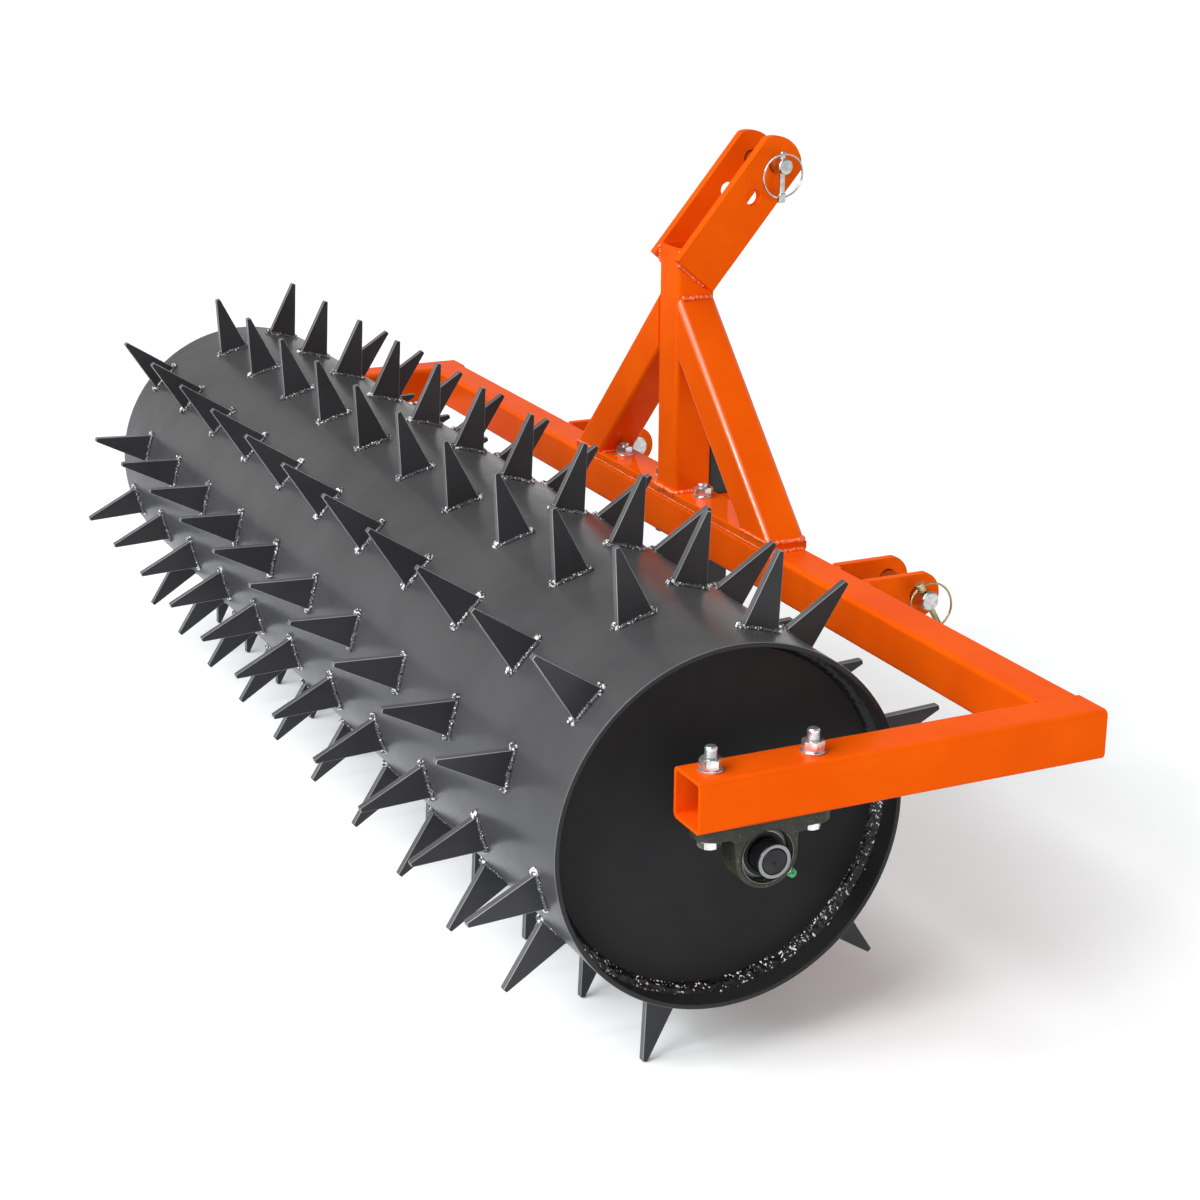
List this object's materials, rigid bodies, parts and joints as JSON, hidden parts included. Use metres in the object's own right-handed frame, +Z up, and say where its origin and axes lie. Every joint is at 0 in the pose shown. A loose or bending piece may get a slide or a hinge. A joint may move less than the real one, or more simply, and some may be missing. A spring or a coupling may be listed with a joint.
{
  "type": "drum spike aerator",
  "caption": "Tractor-mounted lawn aerator: a spiked roller drum on bearings under an open U-shaped frame with an A-shaped hitch mast.",
  "frame": {"origin": "middle of the outer box, on the ground that the spikes stand on", "axes": "+X to the right along the drum, +Y forward to the tractor, +Z up"},
  "size_m": [1.68, 0.7228, 0.7826],
  "materials": {
    "orange_paint": "gloss",
    "bright_zinc": "bright zinc plate",
    "yellow_zinc": "yellow zinc plate",
    "green_casting": "painted casting",
    "bearing_steel": "ground",
    "seal_rubber": "satin",
    "green_cap": "gloss",
    "drum_paint": "satin",
    "dark_paint": "satin",
    "shaft_steel": "turned, dulled",
    "black_paint": "satin"
  },
  "bodies": {
    "frame": {"cross_tube": "orange_paint", "side_arm_right": "orange_paint", "side_arm_left": "orange_paint", "arm_front_caps": "orange_paint", "mast_base_plate": "orange_paint", "mast_post": "orange_paint", "mast_brace_right": "orange_paint", "mast_brace_left": "orange_paint", "top_link_plate_right": "orange_paint", "top_link_plate_left": "orange_paint", "hitch_lug_right_outer": "orange_paint", "hitch_lug_right_inner": "orange_paint", "hitch_lug_left_inner": "orange_paint", "hitch_lug_left_outer": "orange_paint", "stand_sleeve": "orange_paint", "clamp_nut": "orange_paint", "mast_bolts": "bright_zinc", "bearing_bolts": "bright_zinc", "hex_nuts": "bright_zinc", "flat_washers": "bright_zinc", "grease_nipples": "bright_zinc", "bearing_housing_right": "green_casting", "bearing_housing_left": "green_casting", "bearing_outer_ring_right": "bearing_steel", "bearing_outer_ring_left": "bearing_steel", "bearing_seals": "seal_rubber", "grease_caps": "green_cap"},
    "drum": {"drum_shell": "drum_paint", "drum_end_plate_right": "dark_paint", "drum_end_plate_left": "dark_paint", "drum_bulkheads": "dark_paint", "stub_shaft_right": "shaft_steel", "stub_shaft_left": "shaft_steel", "bearing_inner_ring_right": "bearing_steel", "bearing_inner_ring_left": "bearing_steel", "bearing_set_screws": "bearing_steel", "spike_rows_01_07": "dark_paint", "spike_rows_02_08": "dark_paint", "spike_rows_03_09": "dark_paint", "spike_rows_04_10": "dark_paint", "spike_rows_05_11": "dark_paint", "spike_rows_06_12": "dark_paint"},
    "ball_set_right": {"bearing_balls_right": "bearing_steel"},
    "ball_set_left": {"bearing_balls_left": "bearing_steel"},
    "top_pin": {"top_link_pin": "bright_zinc"},
    "lower_pin_right": {"lower_hitch_pin_right": "yellow_zinc"},
    "lower_pin_left": {"lower_hitch_pin_left": "yellow_zinc"},
    "lynch_top": {"lynch_pin_top": "bright_zinc"},
    "lynch_right": {"lynch_pin_right": "yellow_zinc"},
    "lynch_left": {"lynch_pin_left": "yellow_zinc"},
    "ring_top": {"lynch_ring_top": "bright_zinc"},
    "ring_right": {"lynch_ring_right": "yellow_zinc"},
    "ring_left": {"lynch_ring_left": "yellow_zinc"},
    "stand": {"stand_leg": "black_paint", "stand_foot": "black_paint"},
    "clamp": {"clamp_screw": "bright_zinc", "clamp_bar": "bright_zinc"}
  },
  "joints": [
    {"name": "drum_spin", "type": "hinge", "parent": "frame", "child": "drum", "pos_m": [0, -0.11062, 0.25082], "axis": [1, 0, 0], "continuous": true},
    {"name": "ball_set_right_spin", "type": "hinge", "parent": "frame", "child": "ball_set_right", "pos_m": [0.8112, -0.11062, 0.25082], "axis": [1, 0, 0], "continuous": true},
    {"name": "ball_set_left_spin", "type": "hinge", "parent": "frame", "child": "ball_set_left", "pos_m": [-0.8112, -0.11062, 0.25082], "axis": [1, 0, 0], "continuous": true},
    {"name": "top_pin_turn", "type": "hinge", "parent": "frame", "child": "top_pin", "pos_m": [0, 0.32665, 0.74843], "axis": [1, 0, 0], "continuous": true},
    {"name": "lynch_top_slide", "type": "slide", "parent": "top_pin", "child": "lynch_top", "axis": [0, 0, -1], "range_m": [0, 0.04]},
    {"name": "ring_top_flip", "type": "hinge", "parent": "lynch_top", "child": "ring_top", "pos_m": [0.0504, 0.32665, 0.71043], "axis": [0, 1, 0], "range_deg": [0, 174]},
    {"name": "lower_pin_right_turn", "type": "hinge", "parent": "frame", "child": "lower_pin_right", "pos_m": [0, 0.32038, 0.31272], "axis": [1, 0, 0], "continuous": true},
    {"name": "lynch_right_slide", "type": "slide", "parent": "lower_pin_right", "child": "lynch_right", "axis": [0, -0.5, 0.866], "range_m": [0, 0.052]},
    {"name": "ring_right_flip", "type": "hinge", "parent": "lynch_right", "child": "ring_right", "pos_m": [0.416, 0.31188, 0.32744], "axis": [0, -0.866, -0.5], "range_deg": [0, 174]},
    {"name": "lower_pin_left_turn", "type": "hinge", "parent": "frame", "child": "lower_pin_left", "pos_m": [0, 0.32038, 0.31272], "axis": [1, 0, 0], "continuous": true},
    {"name": "lynch_left_slide", "type": "slide", "parent": "lower_pin_left", "child": "lynch_left", "axis": [0, -0.5, 0.866], "range_m": [0, 0.052]},
    {"name": "ring_left_flip", "type": "hinge", "parent": "lynch_left", "child": "ring_left", "pos_m": [-0.416, 0.31188, 0.32744], "axis": [0, 0.866, 0.5], "range_deg": [0, 174]},
    {"name": "stand_slide", "type": "slide", "parent": "frame", "child": "stand", "axis": [0, 0, 1], "range_m": [-0.1, 0.25]},
    {"name": "clamp_turn", "type": "hinge", "parent": "frame", "child": "clamp", "pos_m": [0, 0.27038, 0.30812], "axis": [0, 1, 0], "range_deg": [0, 360]}
  ],
  "couplings": [
    {"joint": "ball_set_right_spin", "follows": "drum_spin", "ratio": 0.3982},
    {"joint": "ball_set_left_spin", "follows": "drum_spin", "ratio": 0.3982},
    {"joint": "ring_top_flip", "follows": "lynch_top_slide", "rad_per_m": 75.92},
    {"joint": "ring_right_flip", "follows": "lynch_right_slide", "rad_per_m": 58.4},
    {"joint": "ring_left_flip", "follows": "lynch_left_slide", "rad_per_m": 58.4}
  ]
}
